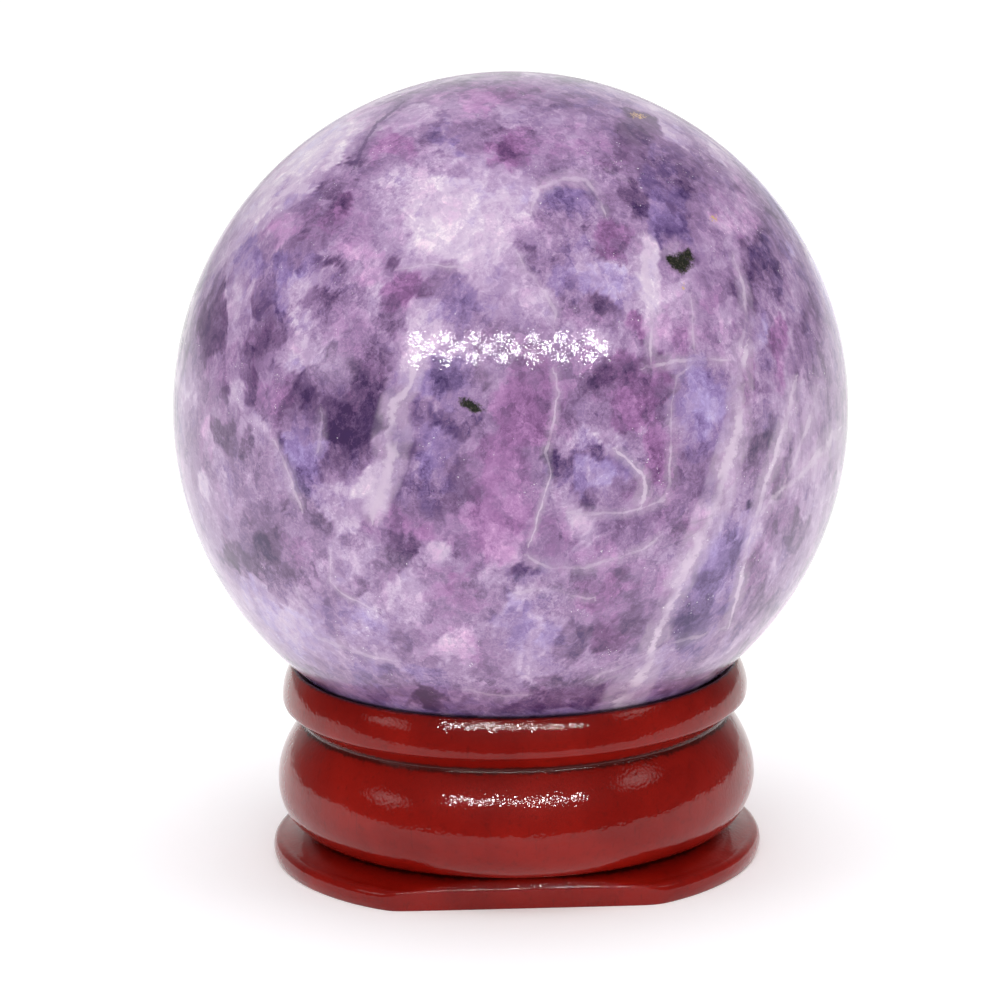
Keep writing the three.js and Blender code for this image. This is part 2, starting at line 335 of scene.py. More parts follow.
DARK = [
    # upper left
    (-9.6, 14.35, 0.65, 0.25, 10, 0.9), (-10.3, 12.4, 0.8, 0.8, 30, 0.5), (-13.6, 9.2, 2.0, 1.0, 0, 0.35),
    (-17.8, 5.4, 0.8, 2.6, -18, 0.6), (-14.7, 4.6, 0.9, 2.3, -15, 0.6), (-10.7, 6.7, 0.8, 0.7, 0, 0.65),
    (-8.5, 1.8, 0.9, 1.9, 5, 0.75), (-15.4, 1.9, 0.5, 1.2, 0, 0.7), (-6.5, 8.7, 0.25, 0.5, 0, 0.7),
    (-11.0, 8.8, 0.5, 0.2, 0, 0.7), (-5.7, 7.2, 0.9, 0.6, -20, 0.35), (-2.6, 6.0, 1.3, 0.8, 0, 0.35),
    (-3.0, 15.0, 0.8, 0.3, 0, 0.35), (-4.0, 16.1, 0.9, 0.5, 0, 0.25), (-0.4, 15.1, 0.9, 0.3, 0, 0.3),
    (-6.9, 5.6, 0.6, 1.4, 20, 0.5), (-16.9, 0.9, 0.6, 0.8, 0, 0.45), (-12.0, 11.9, 1.0, 0.5, 30, 0.3),
    # the very dark zone left of the middle
    (-9.6, -0.6, 1.9, 1.5, 0, 1.0), (-9.6, -3.1, 1.6, 0.9, 0, 0.5), (-12.0, 0.4, 1.2, 0.7, 30, 0.45),
    (-12.4, -4.6, 0.6, 1.0, 0, 0.65), (-16.7, -1.6, 0.4, 1.4, 0, 0.5), (-15.6, -2.4, 0.5, 0.7, 0, 0.5),
    (-13.4, -2.2, 0.3, 0.8, 10, 0.5),
    # blue-black right of the pale vein
    (-4.1, 1.9, 1.5, 0.6, -10, 0.6), (-1.6, 1.7, 0.6, 0.6, 0, 0.65), (-3.4, -0.6, 1.9, 0.6, -5, 0.7),
    (-5.9, -2.3, 0.4, 0.7, 0, 0.7), (-4.3, -4.2, 1.4, 1.8, 10, 0.35), (-5.0, -5.6, 1.0, 0.6, 0, 0.35),
    (-6.5, -8.3, 0.9, 0.7, 0, 0.3), (-2.4, -5.6, 1.0, 0.7, 0, 0.2),
    # lower left
    (-14.8, -8.3, 1.0, 1.7, -12, 0.65), (-16.3, -8.4, 0.9, 0.7, 30, 0.45), (-14.8, -6.3, 1.0, 0.7, 0, 0.4),
    (-13.6, -5.4, 0.3, 0.25, 0, 0.6), (-11.0, -7.2, 0.6, 0.22, -20, 0.6), (-9.4, -7.3, 0.5, 0.3, 0, 0.5),
    (-8.9, -10.1, 0.4, 0.6, 20, 0.45), (-10.9, -9.0, 0.4, 0.5, 0, 0.4), (-12.9, -9.8, 0.8, 0.6, 0, 0.3),
    # in the next row the wide low band is painted shade and reflection just above the stand's ring
    (-10.3, -13.6, 0.6, 0.3, 0, 0.3), (-6.6, -16.2, 2.4, 0.6, 0, 0.35), (-11.6, -6.6, 0.9, 0.2, -25, 0.4),
    # upper right
    (1.6, 17.9, 0.6, 0.25, 0, 0.4), (7.6, 16.0, 1.3, 1.2, 0, 0.4), (6.6, 14.6, 1.6, 0.6, -15, 0.45),
    (9.3, 13.3, 1.9, 2.2, 0, 0.4), (10.1, 13.5, 0.6, 0.5, 0, 0.6), (7.2, 12.6, 0.6, 0.9, 10, 0.6),
    (9.4, 10.4, 0.9, 0.7, 0, 0.6), (3.1, 12.7, 1.7, 0.7, 5, 0.4), (4.5, 13.2, 0.4, 0.3, -40, 0.6),
    (1.6, 12.4, 0.3, 0.5, 20, 0.5), (5.1, 12.3, 0.6, 0.3, 0, 0.45), (0.5, 10.3, 0.5, 0.9, 0, 0.5),
    (1.2, 8.9, 0.9, 0.4, -20, 0.4), (6.1, 9.8, 0.9, 1.1, -10, 0.4), (3.4, 7.1, 0.6, 0.7, 0, 0.5),
    (5.6, 5.6, 0.6, 0.5, -20, 0.6), (7.6, 4.9, 0.5, 0.7, 0, 0.5), (5.9, 8.8, 0.9, 0.3, 0, 0.35),
    (12.8, 10.9, 0.4, 0.2, 0, 0.6), (14.7, 8.6, 1.4, 2.2, -15, 0.35), (14.4, 7.4, 0.35, 1.5, -5, 0.55),
    (15.8, 8.3, 0.5, 1.2, -15, 0.45), (15.2, 11.6, 0.7, 1.2, -30, 0.35), (12.8, 8.0, 0.5, 0.6, 0, 0.4),
    # the magenta patches right of the middle
    (7.0, 1.8, 1.9, 1.3, 5, 0.4), (4.8, 1.6, 1.1, 0.5, 20, 0.5), (8.7, 0.9, 0.5, 1.0, 0, 0.35),
    (3.1, 2.2, 0.4, 0.6, 0, 0.45), (7.7, -0.3, 1.5, 0.9, 0, 0.35), (8.6, -2.6, 0.8, 1.4, 0, 0.3),
    (6.4, -1.0, 0.8, 0.3, -20, 0.4), (8.6, 3.0, 0.8, 0.5, 0, 0.3), (13.9, 1.5, 0.35, 1.3, 0, 0.65),
    # the closed cell and what lies below it
    (2.7, -2.9, 0.8, 0.6, 0, 0.75), (4.5, -5.0, 0.9, 0.35, 0, 0.5), (1.9, -4.2, 0.35, 0.8, 0, 0.45),
    (4.6, -2.4, 1.8, 0.5, 0, 0.4), (1.1, -9.7, 0.9, 0.55, 10, 0.6), (6.6, -7.0, 0.9, 0.6, 0, 0.25),
    (2.2, -7.0, 0.9, 0.7, 0, 0.25), (4.0, -9.8, 0.9, 0.6, 0, 0.3), (6.0, -10.8, 2.0, 0.9, 15, 0.25),
    (3.3, -13.6, 0.8, 1.5, -15, 0.45), (5.4, -13.6, 1.2, 0.8, 20, 0.5), (7.0, -12.4, 1.4, 0.7, 40, 0.3),
    # right of the middle, below
    (11.5, -3.6, 0.8, 1.2, -10, 0.3), (10.2, -7.4, 1.1, 0.25, 20, 0.5), (10.6, -4.9, 0.5, 0.4, 0, 0.45),
    (14.9, -2.4, 0.7, 1.2, -40, 0.5), (15.3, -0.4, 0.4, 0.9, -10, 0.55), (16.0, -3.9, 0.6, 1.2, -35, 0.4),
    (12.9, -8.9, 0.9, 1.9, -22, 0.4), (11.0, -11.6, 0.9, 1.9, -28, 0.5), (10.0, -13.4, 1.2, 0.8, 30, 0.4),
    (16.2, -7.0, 1.0, 1.3, -25, 0.35), (14.5, -5.6, 0.12, 0.4, -10, 0.9), (14.2, -10.0, 0.5, 1.6, -30, 0.3),
    (17.6, 4.8, 0.3, 1.6, 0, 0.35), (17.0, 1.4, 0.3, 1.4, 0, 0.35), (18.3, 2.6, 0.3, 1.6, 0, 0.3),
    # a band of painted shade and reflection just above the stand's ring, then a dark fleck
    (4.2, -17.0, 2.8, 0.7, 0, 0.55), (9.7, -16.2, 1.8, 0.5, 15, 0.4), (0.6, -17.4, 2.0, 0.4, 0, 0.35),
    (-5.15, -17.0, 0.9, 0.45, -15, 0.8),
]

# Pink is above 0 and blue below it.
HUE = [
    (-6.6, 15.7, 1.7, 0.7, 20, 0.9), (-1.5, 18.5, 2.6, 0.5, 5, 0.7), (-13.0, 10.4, 1.7, 1.3, 0, 0.6),
    (-10.0, 11.2, 1.2, 1.6, 0, 0.5), (-5.9, 7.2, 1.5, 1.1, 0, 0.7), (-14.1, 0.8, 1.4, 1.2, 0, 0.5),
    (-0.5, 15.0, 1.0, 0.5, 0, 0.7), (-8.8, 9.0, 1.5, 1.2, 0, 0.5), (-9.6, 4.6, 1.6, 1.4, 0, 0.3),
    (3.2, 16.0, 3.2, 0.9, 0, 0.35), (0.2, 15.6, 0.7, 0.6, 0, 0.6), (6.1, 9.8, 1.1, 1.3, 0, 0.6),
    (7.6, 4.9, 0.6, 0.9, 0, 0.7), (13.3, 11.8, 1.2, 1.6, 0, 0.4), (12.2, 5.0, 1.6, 1.8, 0, 0.25),
    (9.6, 4.6, 1.1, 2.2, 0, 0.55), (7.2, 1.9, 2.5, 1.5, 0, 0.65), (1.1, 1.2, 1.6, 2.0, 0, 0.8),
    (15.9, 3.2, 0.5, 2.6, 0, 0.7), (13.9, 1.6, 0.5, 1.2, 0, 0.3), (7.7, -0.2, 1.7, 1.3, 0, 0.7),
    (8.7, -3.4, 0.9, 2.0, 0, 0.8), (6.9, -4.7, 0.8, 1.0, 0, 0.6), (-1.2, -4.4, 2.3, 3.2, 15, 0.75),
    (1.1, -1.0, 1.8, 1.9, 0, 0.8), (-5.8, -6.7, 1.7, 0.8, 0, 0.5), (-3.7, -11.1, 1.7, 1.1, 0, 0.8),
    (-0.8, -7.6, 1.6, 1.4, 0, 0.5), (-3.4, -14.0, 1.6, 1.2, 0, 0.25), (-12.6, -8.4, 0.9, 0.8, 0, 0.6),
    (6.1, -10.6, 2.6, 1.4, 15, 0.5), (5.5, -13.4, 1.3, 1.0, 0, 0.45), (10.2, -7.3, 1.3, 0.7, 20, 0.6),
    (2.6, -7.4, 1.5, 1.2, 0, 0.3), (14.6, -9.4, 0.7, 2.0, -28, 0.5), (16.5, -5.0, 1.0, 1.6, -25, 0.3),
    (9.4, -10.4, 0.7, 1.8, -30, 0.4), (-17.6, -1.5, 0.6, 1.2, 0, 0.5), (0.3, 6.8, 1.6, 1.4, 0, 0.3),
    (-13.7, 8.9, 2.2, 1.1, 0, -0.7), (-4.1, 16.1, 1.1, 0.7, 0, -0.6), (-3.0, 15.0, 1.0, 0.5, 0, -0.6),
    (-2.6, 6.1, 1.5, 1.1, 0, -0.7), (-4.1, 1.8, 1.7, 0.9, 0, -0.7), (-13.8, 6.3, 0.9, 1.4, 0, -0.4),
    (-12.3, -2.5, 1.2, 1.8, 0, -0.6), (-4.4, -3.0, 1.9, 2.2, 0, -0.85), (-12.4, -4.6, 0.8, 1.1, 0, -0.6),
    (-3.2, -0.8, 2.0, 0.8, 0, -0.6), (-9.3, -12.0, 2.2, 2.0, 0, -0.3), (-14.2, -13.0, 3.0, 1.5, -40, -0.5),
    (-7.0, -15.6, 3.0, 1.0, 0, -0.5), (3.1, 12.5, 2.0, 0.9, 0, -0.8), (8.9, 12.9, 1.6, 2.0, 0, -0.6),
    (9.4, 10.5, 1.2, 0.9, 0, -0.8), (5.2, 7.8, 2.4, 1.5, 0, -0.6), (4.2, 10.2, 1.0, 1.0, 0, -0.3),
    (15.2, 8.6, 1.2, 2.2, -10, -0.35), (14.6, 4.4, 0.6, 1.6, 0, -0.5), (11.2, 0.5, 1.8, 2.7, 0, -0.95),
    (4.4, -3.4, 2.3, 1.4, -5, -0.7), (12.8, -9.0, 1.2, 2.1, -22, -0.9), (10.9, -11.6, 1.2, 2.1, -28, -0.8),
    (1.4, -13.0, 2.2, 2.4, 0, -0.4), (1.1, -9.7, 1.1, 0.7, 0, -0.4), (9.0, -14.6, 2.4, 0.9, 25, -0.4),
    (16.0, 0.2, 0.5, 1.6, 0, -0.5), (1.8, -3.9, 0.6, 1.0, 0, -0.5),
]


def from_middle(row, across, rise):
    """The distance from an ellipse's middle, 1 on the ellipse itself. The row starts with its
    middle, its half sizes and its turn."""
    x, y, half_width, half_height, turn = row[:5]
    turn = np.radians(turn)
    along = (across - x) * np.cos(turn) + (rise - y) * np.sin(turn)
    athwart = (rise - y) * np.cos(turn) - (across - x) * np.sin(turn)
    return np.hypot(along / half_width, athwart / half_height)


def patch(row, soft=0.55):
    """How deep inside one elliptical patch each point is: 1 in its middle, fading to 0 outside."""
    return 1 - smoothstep(1 - soft, 1 + soft, from_middle(row, across, rise))


def layered(rows):
    """Patches laid over one another: what is left uncovered shrinks with each, so 1 is the most."""
    bare = np.ones(len(across))
    for row in rows:
        bare *= 1 - row[-1] * patch(row)
    return 1 - bare


# %% Patches scattered over the whole ball
# How much of the scattered patches the listed ones hide in front
FRONT_COVER = 0.85
SHADE_TONE, SHADE_HUE = 0.34, 0.45
SHEEN_EDGE = (-13.4, 13.2, 7.5, 1.9, 45)

scatter = np.random.default_rng(41)
far_grown = (on_ball + 2.0 * warp + 0.3 * jagged) * STRETCH
_, far_border, far_label = plates(far_grown + FAR_MOVE, FAR_PLATE)
of_cell = scatter.uniform(-1, 1, (6, 256))
base_hue = 0.5 * of_cell[0, far_label] + 1.2 * cloud(on_ball, 8, 3, 70.1)
base_tone = (0.30 * of_cell[1, far_label] + 0.20 * of_cell[2, large_label]
             + 1.5 * cloud(on_ball, 7, 4, 90.7) + 0.1)

hand_hue = sum(row[-1] * patch(row, 0.7) for row in HUE)
hand_tone = 0.85 * layered(PALE) - layered(DARK)
mosaic = 0.11 * of_cell[3, large_label] + 0.13 * of_cell[4, small_label]
hue = hand_hue * front + base_hue * (1 - FRONT_COVER * front) + 0.15 * of_cell[5, small_label]
hue = np.clip(hue, -1, 1)
tone = hand_tone * front + base_tone * (1 - FRONT_COVER * front) + mosaic
# Deep in the shade of the stand's ring the stone looks darker and bluer.
in_shade = smoothstep(-12.8, -16.2, on_ball[:, 2])
tone = np.clip(tone - SHADE_TONE * in_shade, -1, 1)
hue = np.clip(hue - SHADE_HUE * in_shade, -1, 1)
# Towards the seen edge the grain is drawn smoother, and along the upper left edge also paler: a
# painted reflection of the white surroundings there. At the right the stone is drawn into fibres.
calm = 0.75 * smoothstep(16.8, 19.2, np.hypot(across, rise)) * front
upper_left_sheen = patch(SHEEN_EDGE) * front
calm = np.maximum(calm, 0.8 * upper_left_sheen)
# Painted reflection: the stone is drawn paler along the upper left edge.
tone = np.clip(tone + 0.35 * upper_left_sheen, -1, 1)
fibrous = smoothstep(10.0, 13.5, across) * front
print(f"patches: {len(PALE)} pale, {len(DARK)} dark, {len(HUE)} of hue; tone spread {tone.std():.2f}")

# %% [markdown]
# Veins are lines on the ball: a few points each, with a half width at each point. What is stored
# for every vertex is how far it is from the nearest vein's middle, as a share of the half width
# and with a sign for the side. The material turns that into a line, which stays sharp between the
# vertices because the value runs evenly through zero.

# %% Veins
# Each row: strength, then points of across, up and half width in mm.
VEINS = [
    # the long pale bands that run down the right side
    (1.0, [(13.9, 3.6, 0.28), (13.5, 0.5, 0.42), (13.4, -1.4, 0.52), (12.8, -3.3, 0.55),
           (12.3, -5.2, 0.58), (11.5, -7.2, 0.55), (10.2, -9.8, 0.50), (9.7, -11.0, 0.42),
           (8.8, -13.0, 0.42), (8.2, -14.9, 0.48), (7.3, -16.3, 0.62), (6.6, -17.6, 0.80)]),
    (0.95, [(16.9, 1.6, 0.20), (16.2, -1.0, 0.30), (15.4, -3.6, 0.24), (14.9, -4.9, 0.20),
            (14.6, -6.2, 0.20), (14.0, -8.5, 0.18), (13.6, -10.4, 0.16), (12.9, -12.7, 0.14)]),
    (0.80, [(19.3, -1.4, 0.40), (18.3, -2.7, 0.36), (17.2, -4.0, 0.28), (15.8, -5.0, 0.24),
            (14.8, -6.1, 0.20)]),
    (0.70, [(18.2, 1.0, 0.18), (17.6, -1.0, 0.20), (17.0, -2.6, 0.14), (16.3, -4.4, 0.14)]),
    (0.45, [(4.9, -16.0, 0.18), (8.0, -14.6, 0.14), (9.3, -14.0, 0.14), (12.8, -12.9, 0.16)]),
    # the cells right of the middle
    (0.85, [(2.6, 2.2, 0.13), (2.7, 1.4, 0.10), (3.0, 1.0, 0.08), (2.7, 0.5, 0.09), (2.6, -0.7, 0.12),
            (2.3, -1.9, 0.12), (2.0, -2.6, 0.10), (2.3, -3.7, 0.09), (2.0, -5.0, 0.10), (1.6, -6.3, 0.08),
            (1.2, -7.8, 0.08)]),
    (0.95, [(6.3, -2.5, 0.12), (7.2, -3.3, 0.14), (7.9, -4.0, 0.17), (8.0, -4.7, 0.22), (7.7, -5.6, 0.26)]),
    (0.75, [(3.9, -6.1, 0.30), (5.1, -6.2, 0.16), (6.6, -6.2, 0.12), (7.7, -5.9, 0.16), (9.0, -5.5, 0.20),
            (9.5, -4.4, 0.18), (9.5, -2.6, 0.12), (9.5, 0.5, 0.10)]),
    (0.60, [(1.2, -8.8, 0.14), (2.5, -9.4, 0.14), (4.4, -9.4, 0.16), (5.7, -9.0, 0.14), (7.9, -8.4, 0.16),
            (8.8, -7.7, 0.12)]),
    (0.50, [(0.4, -11.0, 0.16), (1.6, -10.7, 0.20), (3.0, -10.9, 0.12), (4.8, -11.2, 0.10)]),
    # the pale upright and its crosspiece, and the cell right of them
    (0.80, [(7.9, 9.8, 0.40), (8.0, 8.0, 0.42), (8.3, 6.0, 0.28), (8.4, 4.4, 0.16), (8.3, 2.8, 0.14)]),
    (0.75, [(8.1, 2.5, 0.20), (9.4, 2.8, 0.22), (11.0, 3.0, 0.18), (12.4, 3.0, 0.14), (13.4, 2.9, 0.12)]),
    (0.55, [(10.7, 6.6, 0.08), (10.8, 4.9, 0.09), (11.0, 3.1, 0.10)]),
    (0.70, [(13.2, 9.0, 0.12), (13.8, 7.2, 0.16), (14.0, 5.3, 0.20), (13.6, 3.6, 0.20)]),
    (0.40, [(9.5, 0.7, 0.10), (9.9, 2.0, 0.12), (10.9, 2.8, 0.12)]),
    # round the blue patches at the top
    (0.60, [(1.3, 11.8, 0.14), (1.7, 13.1, 0.20), (3.1, 13.7, 0.24), (4.4, 13.7, 0.20), (5.1, 12.8, 0.16),
            (5.6, 11.6, 0.12)]),
    (0.55, [(0.4, 9.2, 0.10), (1.0, 8.1, 0.12), (2.1, 7.0, 0.14), (2.7, 5.7, 0.12), (2.6, 4.8, 0.08)]),
    (0.45, [(5.7, 14.2, 0.07), (6.8, 13.6, 0.08)]),
    (0.60, [(-6.5, 8.3, 0.08), (-4.8, 8.6, 0.10), (-2.8, 8.4, 0.09)]),
    (0.45, [(-18.0, 8.0, 0.08), (-17.0, 8.9, 0.10), (-16.2, 9.7, 0.08)]),
    # the broad upright vein left of the middle, and the thin ones beside it
    (0.85, [(-5.6, 3.0, 0.40), (-6.0, 1.4, 0.30), (-6.9, 0.5, 0.45), (-7.0, -1.4, 0.75), (-7.1, -3.2, 0.62),
            (-7.6, -4.8, 0.55), (-8.2, -6.4, 0.30)]),
    (0.60, [(-13.9, -2.0, 0.10), (-13.3, -3.3, 0.14), (-12.8, -4.9, 0.12), (-12.5, -5.9, 0.10)]),
    (0.55, [(-11.2, -0.2, 0.10), (-11.3, -1.4, 0.14), (-11.5, -2.6, 0.12)]),
    (0.60, [(-10.6, -8.2, 0.06), (-10.7, -10.2, 0.08), (-9.9, -11.0, 0.08), (-7.8, -12.0, 0.06)]),
    (0.55, [(-13.0, -11.9, 0.16), (-11.2, -13.7, 0.18), (-8.6, -14.6, 0.16), (-6.8, -14.9, 0.10)]),
    (0.40, [(-12.7, -10.6, 0.10), (-12.0, -12.3, 0.10), (-11.6, -13.2, 0.08)]),
    (0.40, [(-2.6, -16.6, 0.08), (-1.0, -17.0, 0.10), (1.0, -16.9, 0.08)]),
]
# The dark crease at the upper left and small cracks are drawn the same way, in a dark tone.
CREASES = [
    (0.75, [(-9.3, 14.4, 0.22), (-8.7, 15.6, 0.16), (-7.9, 17.0, 0.14), (-6.4, 18.2, 0.14)]),
    (0.60, [(-13.1, -3.0, 0.14), (-12.6, -4.6, 0.12), (-12.1, -6.0, 0.10), (-11.3, -6.9, 0.10)]),
    (0.55, [(1.2, 9.4, 0.10), (0.6, 8.8, 0.12), (1.4, 8.2, 0.10)]),
    (0.50, [(4.4, 13.4, 0.10), (5.0, 12.6, 0.14), (5.6, 11.8, 0.12)]),
    (0.45, [(-5.7, -2.0, 0.10), (-6.2, -4.0, 0.08), (-6.9, -5.8, 0.08)]),
    (0.45, [(9.6, -7.0, 0.07), (10.9, -6.7, 0.10), (11.9, -6.4, 0.06)]),
    (0.40, [(9.3, -8.2, 0.07), (10.6, -7.6, 0.09), (11.3, -7.2, 0.06)]),
]
# Lines that run close together go into different sets, so that the sign never jumps near a line.
VEIN_SETS = 4
NO_LINE = 40.0


def lines(rows):
    """The signed distance to the nearest line as a share of its half width, the line's strength,
    and a value without a sign that is 1 where no line is near. For each stretch between two
    points: the foot of the perpendicular, kept within the stretch."""
    share = np.full(len(fine_across), NO_LINE)
    room = share.copy()
    strength = np.zeros(len(fine_across))
    for tone, points in rows:
        for (x0, y0, w0), (x1, y1, w1) in zip(points, points[1:]):
            dx, dy = x1 - x0, y1 - y0
            length = dx * dx + dy * dy
            t = np.clip(((fine_across - x0) * dx + (fine_rise - y0) * dy) / length, 0, 1)
            off_x, off_y = fine_across - x0 - t * dx, fine_rise - y0 - t * dy
            side = np.sign(off_x * dy - off_y * dx)
            width = w0 + t * (w1 - w0)
            gap = np.hypot(off_x, off_y)
            closer = gap / width < np.abs(share)
            share[closer] = (side * gap / width)[closer]
            strength[closer] = tone
            room = np.minimum(room, gap / (1.5 * width + 0.3))
    return np.clip(share, -NO_LINE, NO_LINE), strength * front, np.clip(room, 0, 1)


line_sets = {f"vein_{k}": lines(VEINS[k::VEIN_SETS]) for k in range(VEIN_SETS)}
line_sets["crease"] = lines(CREASES)
broken = np.clip(0.85 + 1.5 * cloud(on_ball, 1.5, 3, 61.1), 0.3, 1.0)

# %% [markdown]
# Here and there sit flecks of other minerals: black-green tourmaline with ragged edges, and specks
# of a golden one. Each is stored as how deep a point lies inside it, so the material can cut its
# edge, roughened by the stone's grain, near zero.

# %% Flecks
# Each row: across, up, half width, half height, turn in degrees.
BLACK_FLECKS = [
    (-2.25, 0.22, 0.80, 0.32, -22), (-2.7, 0.55, 0.28, 0.24, 0), (10.15, 8.75, 0.70, 0.62, 10),
    (10.5, 9.2, 0.30, 0.30, 0), (9.55, 8.95, 0.34, 0.24, -30), (6.26, 16.55, 0.14, 0.14, 0),
]
GOLD_FLECKS = [
    (7.6, 17.4, 0.42, 0.18, -10), (12.05, 11.3, 0.16, 0.22, -20), (10.18, 7.25, 0.10, 0.22, 0),
]
# The greyish green round some flecks is soft: rows with a strength, as for the patches.
GREENISH = [
    (7.6, 16.9, 0.9, 0.7, -20, 0.5), (8.5, 16.6, 0.7, 0.35, -40, 0.4), (9.2, 9.0, 0.5, 0.35, 0, 0.5),
    (-1.6, 1.8, 0.7, 0.6, 0, 0.4), (-5.15, -17.0, 0.7, 0.4, -15, 0.4),
]
NO_FLECK = -6.0


def depth_inside(rows):
    """The greatest of 1 minus the elliptical distance to each fleck's middle."""
    depths = [1 - from_middle(row, fine_across, fine_rise) for row in rows]
    return np.where(front > 0, np.max(depths, axis=0), NO_FLECK)


# The rest of the ball has a few black flecks too, and its cells have pale borders.
STRAY_FLECKS = 9
stray = unit(scatter.normal(size=(STRAY_FLECKS, 3))) * BALL_RADIUS
stray_size = scatter.uniform(0.25, 0.8, STRAY_FLECKS)
to_stray = np.linalg.norm((on_ball + jagged)[:, None] - stray[None], axis=2)
stray_depth = (1 - to_stray / stray_size).max(axis=1)
black = np.maximum(depth_inside(BLACK_FLECKS), np.where(front < 0.05, stray_depth, NO_FLECK))
gold = depth_inside(GOLD_FLECKS)
back_vein = far_border / (0.20 + 0.5 * np.clip(cloud(on_ball, 5, 2, 13.3) + 0.3, 0, 1))
back_tone = (1 - front) * 0.8 * smoothstep(-0.15, 0.25, cloud(on_ball, 7, 3, 57.9))

attributes = {
    "hue": hue, "tone": tone, "calm": calm, "fibrous": fibrous, "broken": broken,
    "black": np.clip(black, NO_FLECK, 1), "gold": np.clip(gold, NO_FLECK, 1),
    "greenish": layered(GREENISH) * front, "plate_edge": np.clip(small_border, 0, 1),
    "back_vein": np.clip(back_vein, 0, NO_LINE), "back_tone": back_tone,
}
for name, values in line_sets.items():
    attributes |= dict(zip((name, name + "_tone", name + "_room"), values))
for name, values in attributes.items():
    store(ball, name, values)
print("attributes:", ", ".join(attributes))

# %% [markdown]
# A material is a graph of nodes. One helper adds a node: its settings are given by name, and each
# input takes a plain value or another node's output.

# %% The node helper
def node(tree, kind, inputs=None, **settings):
    """Adds a node to a material's tree, with settings, values and links."""
    made = tree.nodes.new(kind)
    for key, value in settings.items():
        setattr(made, key, value)
    for key, value in (inputs or {}).items():
        if isinstance(value, bpy.types.NodeSocket):
            tree.links.new(value, made.inputs[key])
        else:
            made.inputs[key].default_value = value
    return made


def new_material(name):
    """An empty material with only its output node."""
    material = bpy.data.materials.new(name)
    material.use_nodes = True
    material.node_tree.nodes.clear()
    return material, material.node_tree, material.node_tree.nodes.new("ShaderNodeOutputMaterial")


def per_mm(wavelength):
    """The scale of a texture on Object coordinates in metres, from a wavelength in mm."""
    return 1 / (wavelength * MM)


# %% [markdown]
# The stone is mica, ground and polished: a body that light enters a short way, under a clear
# gloss. Its grain is drawn at several sizes: clouds of 2.6 mm, wisps of 1.3 mm, grains of 0.45 mm
# and dust of 0.16 mm, with flakes of 1.2 and 0.45 mm that each have one tone. The glitter of tiny
# flakes is painted in, as white glints in the colour. The polish is good but the soft flakes leave
# it very slightly uneven, which breaks up the reflections of the lamps.

# %% The stone's material
# The stone's tones from the darkest to the palest, and what its pink and blue plates multiply
# them by.
STONE_TONES = {0.0: "#432c54", 0.1: "#573e66", 0.25: "#6f547a", 0.37: "#83678e", 0.5: "#987aa2",
               0.63: "#aa8fb4", 0.76: "#bca3c4", 0.9: "#d2bfd6", 1.0: "#ede2ea"}
PINK_PLATE, BLUE_PLATE = (1.08, 0.82, 0.99, 1), (0.90, 0.97, 1.16, 1)
STONE_VEIN, STONE_GREY, STONE_GOLD = "#d2bfd4", "#675f6c", "#c9a882"
STONE_BLACK, STONE_OLIVE = "#20221c", "#4a443a"
STONE_CREASE, PAINTED_GLINT = "#5d466f", "#ffffff"

stone, tree, output = new_material("polished_mica_stone")
place = node(tree, "ShaderNodeTexCoord").outputs["Object"]


def attribute(name):
    """A number that the piece keeps for each of its points."""
    return node(tree, "ShaderNodeAttribute", attribute_name=name).outputs["Fac"]


def math(operation, a, b=0.0, c=0.0, clamp=False):
    """One step of arithmetic."""
    inputs = {0: a, 1: b, 2: c}
    return node(tree, "ShaderNodeMath", inputs, operation=operation, use_clamp=clamp).outputs[0]


def ramp(value, low, high):
    """A smooth step from 0 at low to 1 at high; low may be the greater of the two."""
    inputs = {"Value": value, "From Min": low, "From Max": high}
    return node(tree, "ShaderNodeMapRange", inputs, interpolation_type="SMOOTHSTEP").outputs[0]


def blend(share, first, second, way="MIX"):
    """A mix of two colours."""
    made = node(tree, "ShaderNodeMix", data_type="RGBA", blend_type=way)
    for socket, value in ((made.inputs[0], share), (made.inputs[6], first), (made.inputs[7], second)):
        if isinstance(value, bpy.types.NodeSocket):
            tree.links.new(value, socket)
        else:
            socket.default_value = value
    return made.outputs[2]


def texture(wavelength, detail, roughness=0.5, distortion=0.0, offset=(0, 0, 0),
            stretch=(1, 1, 1), tilt=0.0):
    """Noise about 0, from -0.5 to 0.5, of a wavelength in mm. A stretch below 1 draws it out along
    that axis, and a tilt in radians turns it about Y."""
    mapping = {"Vector": place, "Location": offset, "Rotation": (0, tilt, 0), "Scale": stretch}
    inputs = {"Vector": node(tree, "ShaderNodeMapping", mapping).outputs[0], "Scale": per_mm(wavelength),
              "Detail": detail, "Roughness": roughness, "Distortion": distortion}
    return math("SUBTRACT", node(tree, "ShaderNodeTexNoise", inputs).outputs[0], 0.5)


def total(*terms):
    """The sum of values, each given with its weight."""
    result = 0.0
    for value, weight in terms:
        result = math("MULTIPLY_ADD", value, weight, result)
    return result


def finish_with(inputs):
    """Links a surface shader with these inputs to the output of the material at hand."""
    shader = node(tree, "ShaderNodeBsdfPrincipled", inputs)
    tree.links.new(shader.outputs[0], output.inputs[0])


